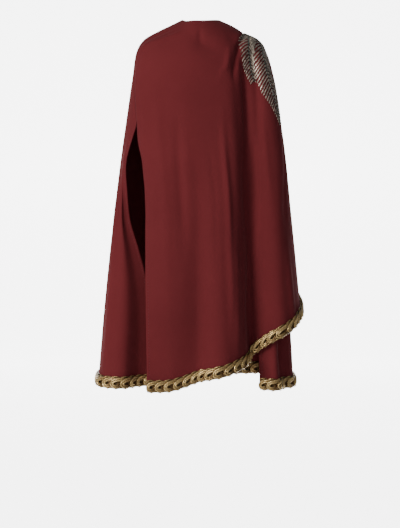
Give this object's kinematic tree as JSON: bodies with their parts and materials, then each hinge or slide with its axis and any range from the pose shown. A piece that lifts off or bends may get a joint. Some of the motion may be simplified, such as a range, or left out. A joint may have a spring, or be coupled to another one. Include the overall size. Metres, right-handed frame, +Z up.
{
  "type": "wool cape with a draped front panel",
  "caption": "Long wool cape as worn: a front panel thrown over one shoulder, an arm slit, beads on the shoulder and a gold braid along each hem.",
  "frame": {"origin": "the middle of the neck opening at the height of the shoulder seams by the neck, where the shoulders hold the cape", "axes": "+Z up, the front faces -Y, +X is the wearer's left, the side that the front panel is thrown over"},
  "size_m": [0.6504, 0.451, 1.1447],
  "materials": {
    "wool": "matt felted wool, burgundy",
    "braid": "gold metal cord, dark in its hollows",
    "beads": "pewter and green-black bugle beads, glossy"
  },
  "bodies": {
    "root": {"back": "wool", "front_drape": "wool", "under_front": "wool", "back_braid": "braid", "drape_braid": "braid", "under_braid": "braid"}
  },
  "joints": []
}
